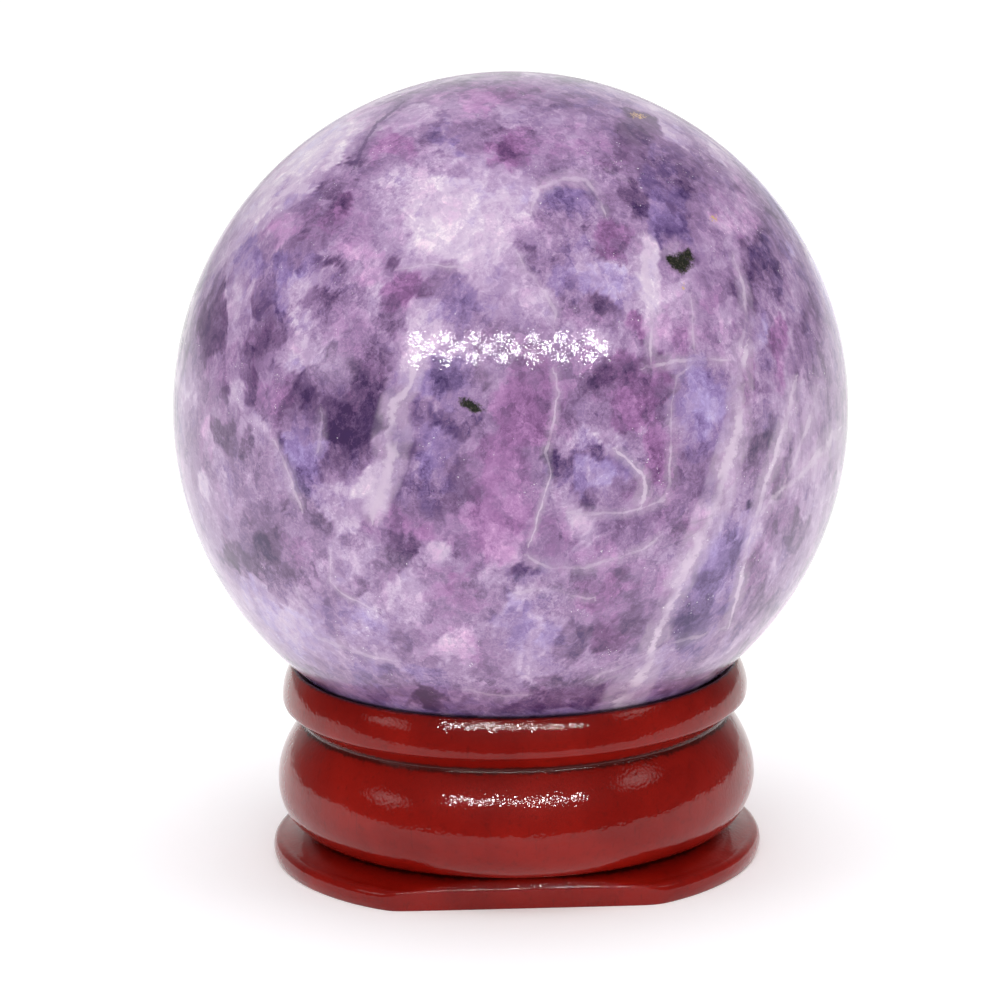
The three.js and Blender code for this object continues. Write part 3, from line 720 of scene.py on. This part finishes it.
# %% The stone's tone at every size
def flakes(size, offset):
    """A random tone from -0.5 to 0.5 for each flake of a size in mm, with borders bent by noise."""
    bend_inputs = {"Vector": place, "Scale": per_mm(0.8 * size), "Detail": 3.0}
    bend = node(tree, "ShaderNodeTexNoise", bend_inputs).outputs["Color"]
    bent = node(tree, "ShaderNodeVectorMath", {0: bend, 1: (1.3 * size * MM,) * 3, 2: place},
                operation="MULTIPLY_ADD").outputs[0]
    mapping = {"Vector": bent, "Location": offset, "Scale": (1.3, 1.0, 0.8)}
    moved = node(tree, "ShaderNodeMapping", mapping).outputs[0]
    cells = node(tree, "ShaderNodeTexVoronoi", {"Vector": moved, "Scale": per_mm(size)})
    tone_of_cell = node(tree, "ShaderNodeSeparateColor", {"Color": cells.outputs["Color"]})
    return math("SUBTRACT", tone_of_cell.outputs[0], 0.5)


clouds = texture(2.6, 6, 0.62, 0.8)
wisps = texture(1.3, 6, 0.66, 1.0, (0.03, 0.01, 0.02))
grains = texture(0.45, 4, 0.68, 0.2, (0.07, 0.02, 0.05))
dust = texture(0.16, 3, 0.7, 0.0, (0.05, 0.05, 0.01))
large_flakes, small_flakes = flakes(1.2, (0.02, 0.05, 0.03)), flakes(0.45, (0.06, 0.01, 0.04))
threads = ramp(math("ABSOLUTE", wisps), 0.03, 0.0)
cracks = ramp(math("ABSOLUTE", texture(0.8, 4, 0.6, 0.6, (0.09, 0.03, 0.02))), 0.025, 0.0)
edges = ramp(math("MULTIPLY_ADD", grains, 0.25, attribute("plate_edge")), 0.12, 0.0)
# The crystals stand out more in some zones, and less where the grain is drawn calmer: towards the
# seen edge and under the painted reflection at the upper left.
coarse_zone = math("ADD", ramp(texture(3.2, 3, 0.6, 0.5, (0.08, 0.08, 0.02)), -0.12, 0.2), 0.4)
coarse_zone = math("MULTIPLY", coarse_zone, math("SUBTRACT", 1.0, attribute("calm")))
crystals = math("MULTIPLY", total((grains, 0.42), (dust, 0.40), (small_flakes, 0.14)), coarse_zone)
fibres = math("MULTIPLY", texture(0.7, 4, 0.6, stretch=(1, 1, 0.12), tilt=0.2), attribute("fibrous"))
tone_value = total((attribute("tone"), 0.50), (clouds, 0.36), (wisps, 0.36), (large_flakes, 0.15),
                   (crystals, 1.0), (fibres, 0.65), (threads, 0.07), (cracks, 0.07), (edges, 0.07))
tone_value = math("ADD", tone_value, 0.46)
# The palest tones are drawn together, so that they keep their grain.
tone_value = math("MINIMUM", tone_value, math("MULTIPLY_ADD", tone_value, 0.6, 0.33))
tones = node(tree, "ShaderNodeValToRGB", {"Fac": tone_value})
while len(tones.color_ramp.elements) < len(STONE_TONES):
    tones.color_ramp.elements.new(0.5)
for stop, at in zip(tones.color_ramp.elements, STONE_TONES):
    stop.position, stop.color = at, linear(STONE_TONES[at])

# %% The stone's hue, veins and flecks
tint = total((attribute("hue"), 1.05), (clouds, 1.1), (grains, 0.5),
             (large_flakes, 0.35), (small_flakes, 0.3))
tinted = blend(ramp(tint, 0.0, -1.0), (1, 1, 1, 1), BLUE_PLATE)
tinted = blend(ramp(tint, 0.0, 1.0), tinted, PINK_PLATE)
colour = blend(1.0, tones.outputs[0], tinted, "MULTIPLY")
colour = blend(math("MULTIPLY", attribute("greenish"), 0.6), colour, linear(STONE_GREY))

ragged = total((grains, 1.6), (wisps, 1.0))


def line_mask(name):
    """Where a set of lines shows: a ragged core, and round it a fainter halo."""
    off_line = math("ABSOLUTE", attribute(name))
    core = ramp(math("MULTIPLY_ADD", ragged, 1.3, off_line), 1.05, 0.2)
    halo = math("MULTIPLY", ramp(math("MULTIPLY_ADD", ragged, 3.0, off_line), 4.5, 0.3), 0.42)
    near = math("MULTIPLY", ramp(attribute(name + "_room"), 1.0, 0.7), attribute(name + "_tone"))
    return math("MULTIPLY", math("MAXIMUM", core, halo), near)


colour = blend(line_mask("crease"), colour, linear(STONE_CREASE))
veins = line_mask("vein_0")
for k in range(1, VEIN_SETS):
    veins = math("MAXIMUM", veins, line_mask(f"vein_{k}"))
colour = blend(math("MULTIPLY", veins, attribute("broken")), colour, linear(STONE_VEIN))
back_veins = ramp(math("ADD", ragged, attribute("back_vein")), 1.9, 0.2)
colour = blend(math("MULTIPLY", back_veins, attribute("back_tone")), colour, linear(STONE_VEIN))

# Painted glints: white specks are painted into the colour where tiny ragged flakes would glitter, in swarms.
swarm = ramp(math("ADD", clouds, texture(0.9, 2, 0.5, 0.0, (0.01, 0.06, 0.02))), 0.10, 0.26)
flake = texture(0.11, 1, 0.5, 0.0, (0.04, 0.01, 0.08))
flake = ramp(math("MULTIPLY_ADD", swarm, 0.07, flake), 0.25, 0.29)
colour = blend(math("MULTIPLY", flake, math("MULTIPLY_ADD", swarm, 0.7, 0.06)), colour, linear(PAINTED_GLINT))
gold_mask = ramp(total((attribute("gold"), 1.0), (grains, 2.6), (dust, 5.0)), 0.0, 0.6)
colour = blend(gold_mask, colour, linear(STONE_GOLD))
black_edge = total((attribute("black"), 1.0), (wisps, 0.7), (grains, 1.6), (dust, 1.2))
black_mask = ramp(black_edge, -0.3, 0.35)
fleck_colour = blend(ramp(dust, -0.02, 0.2), linear(STONE_BLACK), linear(STONE_OLIVE))
colour = blend(black_mask, colour, fleck_colour)

polish = texture(0.17, 1, 0.5, 0.0, (0.02, 0.09, 0.04))
POLISH_DEPTH = 0.006 * MM
bump = node(tree, "ShaderNodeBump", {"Height": polish, "Strength": 1.0, "Distance": POLISH_DEPTH})
finish_with({
    "Base Color": colour, "Roughness": 0.4, "IOR": 1.5, "Specular IOR Level": 0.1,
    "Coat Weight": 0.85, "Coat Roughness": 0.06, "Coat IOR": 1.48,
    "Normal": bump.outputs[0], "Coat Normal": bump.outputs[0],
    "Subsurface Weight": 0.15, "Subsurface Radius": (1.0, 0.7, 1.1), "Subsurface Scale": 0.4 * MM,
})
ball.data.materials.append(stone)
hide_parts("stone_ball")
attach(ball, "root")

# %% [markdown]
# The stand is turned wood, so its surface is one outline carried round an axis: a low foot whose
# top rises gently to a crease, a full bead, a second crease, a crowned ring that is undercut
# below, and in the top the cone that the ball sits in with a shallow dish below it. Thick lacquer
# rounds every edge and fills every crease a little, which is done by averaging the outline over a
# short length of itself.

# %% The stand's outline
def quarter(r, z, width, height, start, count=60):
    """A quarter of an ellipse about (r, z): (r + width cos a, z + height sin a)."""
    a = np.linspace(start, start + np.pi / 2, count)
    return np.stack([r + width * np.cos(a), z + height * np.sin(a)], axis=1)


def bowed(start, middle, end, count=40):
    """A parabola that leaves start and reaches end heading to and from the middle point."""
    t = np.linspace(0, 1, count)[:, None]
    return (1 - t) ** 2 * np.array(start) + 2 * t * (1 - t) * np.array(middle) + t ** 2 * np.array(end)


contact_depth = np.sqrt(BALL_RADIUS ** 2 - SEAT_CONTACT_RADIUS ** 2)
seat_slope = SEAT_CONTACT_RADIUS / contact_depth
seat_bottom = STAND_HEIGHT - seat_slope * (MOUTH_RADIUS - SEAT_INNER_RADIUS)
dish_radius = BALL_RADIUS + DISH_CLEARANCE

foot_edge, foot_shoulder = (FOOT_RADIUS, FOOT_EDGE), (FOOT_SHOULDER_RADIUS, FOOT_SHOULDER)
ring_undercut, ring_lip = (RING_UNDERCUT_RADIUS, RING_UNDERCUT), (RING_RADIUS, RING_LIP)
bead_depth, bead_rise = BEAD_RADIUS - LOWER_CREASE_RADIUS, BEAD_CREST - LOWER_CREASE
outside = np.concatenate([
    [(SOLE_RADIUS, 0)],
    bowed((SOLE_RADIUS, 0), (FOOT_RADIUS, FOOT_EDGE / 2), foot_edge),
    bowed(foot_edge, (FOOT_RADIUS, FOOT_SHOULDER), foot_shoulder),
    quarter(LOWER_CREASE_RADIUS, BEAD_CREST, bead_depth, bead_rise, -np.pi / 2),
    bowed((BEAD_RADIUS, BEAD_CREST), (BEAD_RADIUS, (BEAD_CREST + UPPER_CREASE) / 2),
          (UPPER_CREASE_RADIUS, UPPER_CREASE)),
    bowed(ring_undercut, (RING_RADIUS, RING_UNDERCUT), ring_lip),
    bowed(ring_lip, (RING_RADIUS, (RING_LIP + STAND_HEIGHT) / 2), (RIM_RADIUS, STAND_HEIGHT)),
    [(MOUTH_RADIUS, STAND_HEIGHT)],
])
edge_angle = -np.arccos(SEAT_INNER_RADIUS / dish_radius)
dish_angles = np.linspace(edge_angle, -np.pi / 2, 60)
dish = dish_radius * np.stack([np.cos(dish_angles), np.sin(dish_angles)], axis=1) + BALL_CENTRE[1:]
inside = np.concatenate([[(MOUTH_RADIUS, STAND_HEIGHT), (SEAT_INNER_RADIUS, seat_bottom)], dish])


def along(outline, count):
    """Points at equal steps along an outline, and the outline's length."""
    steps = np.linalg.norm(np.diff(outline, axis=0), axis=1)
    run = np.concatenate([[0], np.cumsum(steps)])
    at = np.linspace(0, run[-1], count)
    return np.stack([np.interp(at, run, outline[:, 0]), np.interp(at, run, outline[:, 1])], axis=1), run[-1]


def lacquered(outline, film, count):
    """The outline averaged with a bell curve of a width in mm along itself, ends kept in place."""
    fine, length = along(outline, 2000)
    reach = int(3 * film / length * len(fine))
    bell = np.exp(-0.5 * (np.arange(-reach, reach + 1) / (reach / 3)) ** 2)
    bell /= bell.sum()
    start, end = 2 * fine[:1] - fine[1:reach + 1][::-1], 2 * fine[-1:] - fine[-reach - 1:-1][::-1]
    padded = np.concatenate([start, fine, end])
    smooth = np.stack([np.convolve(padded[:, k], bell, "valid") for k in (0, 1)], axis=1)
    smooth[0], smooth[-1] = fine[0], fine[-1]
    return along(smooth, count)[0]


OUTSIDE_ROWS, INSIDE_ROWS, SOLE_ROWS, COLUMNS = 152, 26, 8, 512
OUTSIDE_FILM, INSIDE_FILM = 0.09, 0.05
outside = lacquered(outside, OUTSIDE_FILM, OUTSIDE_ROWS)
inside = lacquered(inside, INSIDE_FILM, INSIDE_ROWS)[1:]
sole = np.stack([np.linspace(0.0, SOLE_RADIUS, SOLE_ROWS), np.zeros(SOLE_ROWS)], axis=1)[1:-1]
outline = np.concatenate([sole, outside, inside[:-1]])
print(f"outline of {len(outline)} points, {len(outside)} of them on the outside")

# %% [markdown]
# Carried round the axis, the outline would be perfectly true. The real stand isn't: a flat is cut
# on the foot at the front and the back, the mouldings lean a little against the foot, and the
# sanded wood under the lacquer is slightly uneven.

# %% The stand's surface
SWAY, RIPPLE = 0.05, 0.012
turn = np.arange(COLUMNS) * 2 * np.pi / COLUMNS
radius = np.repeat(outline[:, :1], COLUMNS, axis=1)
height = np.repeat(outline[:, 1:], COLUMNS, axis=1)
is_outside = np.zeros((len(outline), 1))
is_outside[len(sole):len(sole) + len(outside)] = 1

# A flat face at distance d limits the foot's radius to d / cos(angle from the flat's middle). The
# lesser of that and the full radius is rounded over where the two meet.
CORNER_ROUNDING = 0.35
face = lacquered(np.array(FLAT_FACE), OUTSIDE_FILM, 60)
from_flat = np.maximum(np.abs(np.cos(turn - FLAT_TURN + np.pi / 2)), 0.5)
limit = np.interp(height, face[:, 1], face[:, 0]) / from_flat
rounding = CORNER_ROUNDING ** 2 * (limit < radius + 2)
cut = (radius + limit - np.sqrt((radius - limit) ** 2 + rounding)) / 2
in_foot = (height <= LOWER_CREASE) & (is_outside > 0)
radius = np.where(in_foot, np.minimum(cut, radius), radius)
# The sole follows the foot's edge.
edge = radius[len(sole)] / SOLE_RADIUS
radius[:len(sole)] *= edge


def carried_round():
    """The points at every radius and height, row by row."""
    return np.stack([radius * np.cos(turn), radius * np.sin(turn), height], axis=-1).reshape(-1, 3)


surface = carried_round()
sway = cloud(surface, 5.0, 2, 8.8).reshape(radius.shape)
ripple = cloud(surface * [1, 1, 2.2], 1.6, 2, 30.2).reshape(radius.shape)
uneven = is_outside * smoothstep(0, 0.4, height) * smoothstep(0, 0.5, STAND_HEIGHT - height)
radius = radius + uneven * (SWAY * sway + RIPPLE * ripple)
rising = smoothstep(LOWER_CREASE, BEAD_CREST, height)
falling = 1 - smoothstep(RING_LIP, STAND_HEIGHT, height)
lean = is_outside * np.minimum(rising, falling) * np.tan(TURNING_LEAN)
height = height + lean * (radius * np.cos(turn))

rings = carried_round()
points = np.concatenate([rings, [(0, 0, 0), (0, 0, inside[-1, 1])]])
i, j = np.meshgrid(np.arange(len(outline) - 1), np.arange(COLUMNS), indexing="ij")
a, b = i * COLUMNS + j, i * COLUMNS + (j + 1) % COLUMNS
quads = np.stack([a, b, b + COLUMNS, a + COLUMNS], axis=-1).reshape(-1, 4)
around = np.arange(COLUMNS)
onward = (around + 1) % COLUMNS
last = (len(outline) - 1) * COLUMNS
bottom_fan = np.stack([np.full(COLUMNS, len(rings)), onward, around], axis=1)
top_fan = np.stack([np.full(COLUMNS, len(rings) + 1), last + around, last + onward], axis=1)
faces = quads.tolist() + bottom_fan.tolist() + top_fan.tolist()
stand = mesh_object("turned_stand", points, faces)

# Lacquer pools in the creases and at the mouth, where painted shade is drawn too: the material
# darkens the red there. Each row: radius, height and width of one pool. The value is 1 in a pool's
# middle and falls off as a bell curve of that width.
POOLS_AND_SHADE = np.array([
    (LOWER_CREASE_RADIUS, LOWER_CREASE, 0.6),
    (UPPER_CREASE_RADIUS, UPPER_CREASE, 0.36),
    (MOUTH_RADIUS, STAND_HEIGHT, 0.22),
])
gaps = np.linalg.norm(outline[:, None] - POOLS_AND_SHADE[:, :2], axis=2) / POOLS_AND_SHADE[:, 2]
pooled_and_shaded = np.append(np.repeat(np.exp(-np.min(gaps, axis=1) ** 2), COLUMNS), [0, 0])
store(stand, "pooled_and_shaded", pooled_and_shaded)

# %% [markdown]
# Chinese-style stands like this one are turned from an open-pored wood, stained red, and dipped or
# brushed with thick gloss lacquer. The eye sees a deep, saturated red that is darker in the grooves
# and at the mouth, where the lacquer has pooled and painted shade is drawn in, pores that show as
# short dashes along the grain, an uneven "orange peel" skin that breaks the lamps' reflection into
# sparkles, and a clear coat on top.

# %% The lacquer's material
LACQUER_RED, LACQUER_BRIGHT, LACQUER_DEEP = "#780802", "#901207", "#360906"
lacquer, tree, output = new_material("red_lacquered_wood")
place = node(tree, "ShaderNodeTexCoord").outputs["Object"]

blotches = texture(5.0, 3, 0.5, 0.5)
speckle = texture(0.5, 4, 0.65, 0.0, (0.01, 0.02, 0.03))
pores = ramp(texture(0.22, 2, stretch=(1, 1, 0.16)), 0.12, 0.24)
pool_and_shade = ramp(total((attribute("pooled_and_shaded"), 1.0), (speckle, 1.2)), 0.25, 0.75)

colour = blend(ramp(blotches, -0.25, 0.3), linear(LACQUER_RED), linear(LACQUER_BRIGHT))
colour = blend(math("MULTIPLY", ramp(speckle, 0.0, 0.35), 0.35), colour, linear(LACQUER_DEEP))
colour = blend(math("MULTIPLY", pores, 0.22), colour, linear(LACQUER_DEEP))
# Painted shade: the red darkens towards deep red where the lacquer pools, in the creases and at the mouth.
colour = blend(math("MULTIPLY", pool_and_shade, 0.85), colour, linear(LACQUER_DEEP))

peel = texture(0.8, 2, 0.5, 0.0, (0.05, 0.05, 0.01))
tool_marks = texture(0.18, 0, 0.5, 0.0, (0.02, 0.07, 0.06))
# The fine marks are about three times as deep where the lacquer has pooled.
mark_depth = math("MULTIPLY_ADD", attribute("pooled_and_shaded"), 2.0, 0.85)
skin = math("MULTIPLY_ADD", tool_marks, mark_depth, math("MULTIPLY_ADD", pores, -0.2, peel))
SKIN_DEPTH = 0.010 * MM
bump = node(tree, "ShaderNodeBump", {"Height": skin, "Strength": 1.0, "Distance": SKIN_DEPTH})
finish_with({
    "Base Color": colour, "Roughness": 0.5, "IOR": 1.5, "Specular IOR Level": 0.05,
    "Coat Weight": 1.0, "Coat Roughness": 0.06, "Coat IOR": 1.36,
    "Normal": bump.outputs[0], "Coat Normal": bump.outputs[0],
})
stand.data.materials.append(lacquer)
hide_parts("wooden_stand")
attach(stand, "root")

# %% [markdown]
# The object stands on a plain white floor, which is only a stage and isn't part of it. The white
# card ends a little way in front of the object. What lies nearer to the camera is dark and is out
# of the picture; the bead mirrors it. So the front part of the floor is kept out of reflections.

# %% The floor
FLOOR_REACH, CARD_FRONT = 3000, -42
floor_material, tree, output = new_material("white_card")
finish_with({"Base Color": linear("#fbfafa"), "Roughness": 0.9, "Specular IOR Level": 0.1,
             "Emission Color": (1, 1, 1, 1), "Emission Strength": 0.19})
FLOORS = {"white_card": (CARD_FRONT, FLOOR_REACH), "front_floor": (-FLOOR_REACH, CARD_FRONT)}
for name, (near, far) in FLOORS.items():
    corners = np.array([(-FLOOR_REACH, near, 0), (FLOOR_REACH, near, 0),
                        (FLOOR_REACH, far, 0), (-FLOOR_REACH, far, 0)])
    floor = mesh_object(name, corners, [[0, 1, 2, 3]])
    floor.data.materials.append(floor_material)
    floor.visible_glossy = near == CARD_FRONT

# %% [markdown]
# The object stands in a white photo tent. Its back wall is bright and fades round the sides to a
# dim front, where the camera looks in. The camera itself sees the tent as plain white.

# %% The surroundings
world = bpy.data.worlds.new("photo_tent")
bpy.context.scene.world = world
world.use_nodes = True
tree = world.node_tree
tree.nodes.clear()
direction = node(tree, "ShaderNodeTexCoord").outputs["Generated"]
parts = node(tree, "ShaderNodeSeparateXYZ", {"Vector": direction}).outputs
# 1 in the middle of the back wall, and 0 from a little in front of the sides onwards
backness = math("DIVIDE", math("ADD", parts["Y"], 0.2), 1.2, clamp=True)
level = math("MULTIPLY_ADD", math("POWER", backness, 6.0), 0.9, 0.05)
tent = node(tree, "ShaderNodeCombineColor", {"Red": level, "Green": level, "Blue": level}).outputs[0]
seen_directly = node(tree, "ShaderNodeLightPath").outputs["Is Camera Ray"]
shown = blend(seen_directly, tent, linear("#ffffff"))
background = node(tree, "ShaderNodeBackground", {"Color": shown, "Strength": 1.0})
node(tree, "ShaderNodeOutputWorld", {"Surface": background.outputs[0]})

# %% [markdown]
# Broad soft light comes from above, from the front and from both sides. In a real tent its cloth
# would also show in the gloss as a pale haze; the photograph's lacquer is deep red and clear, so
# this light is kept out of the reflections.

# %% Soft light
def soft_light(name, size, radiance, position, flatness=1.0, mirrored=False):
    """An oval area light aimed at the ball, sizes in mm. Its power is radiance x pi x area."""
    data = bpy.data.lights.new(name, "AREA")
    data.shape = "ELLIPSE"
    data.size, data.size_y = size * MM, size * flatness * MM
    data.energy = radiance * np.pi * np.pi / 4 * data.size * data.size_y
    made = bpy.data.objects.new(name, data)
    made.location = position * MM
    made.rotation_euler = Vector(BALL_CENTRE - position).to_track_quat("-Z", "Y").to_euler()
    made.visible_glossy = mirrored
    bpy.context.scene.collection.objects.link(made)


soft_light("tent_top", 1350, 1.7, np.array([0.0, 0.0, 700.0]))
soft_light("tent_front", 1000, 1.5, np.array([0.0, -900.0, 330.0]))
for side in (-1, 1):
    soft_light("tent_side", 800, 0.65, np.array([side * 750.0, -100.0, 200.0]))

# %% [markdown]
# In the tent's top front hangs a panel of small lamps in three rows. It is placed by where it
# shows: the rows are given in mm on the ball as seen from the camera, and each lamp stands where
# the ball mirrors it to the eye. Each row: across at its first lamp, up, and number of lamps.

# %% The lamp panel
LAMP_DISTANCE, LAMP_SIZE, LAMP_POWER = 500, 16, 0.1
LAMP_PITCH = 1.72
LAMP_ROWS = [(-5.6, 4.2, 7), (-4.8, 3.62, 7), (-5.6, 3.08, 7)]


def mirrored(across, rise):
    """The point of the ball that is seen at a place, and the way a ray from the eye leaves it:
    the near crossing of ray and sphere, and the ray turned over about the normal there."""
    centre = BALL_CENTRE - eye
    way = unit(centre + across * right + rise * up)
    middle = way @ centre
    reach = middle - np.sqrt(middle ** 2 - centre @ centre + BALL_RADIUS ** 2)
    point = eye + reach * way
    normal = unit(point - BALL_CENTRE)
    return point, way - 2 * (way @ normal) * normal


for row_start, row_rise, count in LAMP_ROWS:
    for k in range(count):
        point, way = mirrored(row_start + k * LAMP_PITCH, row_rise)
        lamp_data = bpy.data.lights.new("panel_lamp", "AREA")
        lamp_data.shape = "DISK"
        lamp_data.size = LAMP_SIZE * MM
        lamp_data.energy = LAMP_POWER
        lamp = bpy.data.objects.new("panel_lamp", lamp_data)
        lamp.location = (point + LAMP_DISTANCE * way) * MM
        lamp.rotation_euler = Vector(-way).to_track_quat("-Z", "Y").to_euler()
        lamp.visible_diffuse = False
        bpy.context.scene.collection.objects.link(lamp)

# %% [markdown]
# The ball and the bead also mirror a soft panel on each side. Each is made of lights of four
# sizes, one behind the other, which gives it a soft edge.

# %% Soft panels at both sides
# Each: azimuth to the right of the front, and elevation, in degrees.
PANELS = [(-68, 20), (70, 34)]
PANEL_SIZES, PANEL_STEP, PANEL_RADIANCE, PANEL_FLATNESS = (230, 180, 130, 80), 5, 0.6, 0.55
for azimuth, climb in np.radians(PANELS):
    way = np.array([np.sin(azimuth) * np.cos(climb), -np.cos(azimuth) * np.cos(climb), np.sin(climb)])
    for k, size in enumerate(PANEL_SIZES):
        position = BALL_CENTRE + (LAMP_DISTANCE + PANEL_STEP * k) * way
        soft_light("side_panel", size, PANEL_RADIANCE, position, PANEL_FLATNESS, mirrored=True)

scene = bpy.context.scene
scene.view_settings.view_transform = "Standard"
scene.view_settings.look = "None"
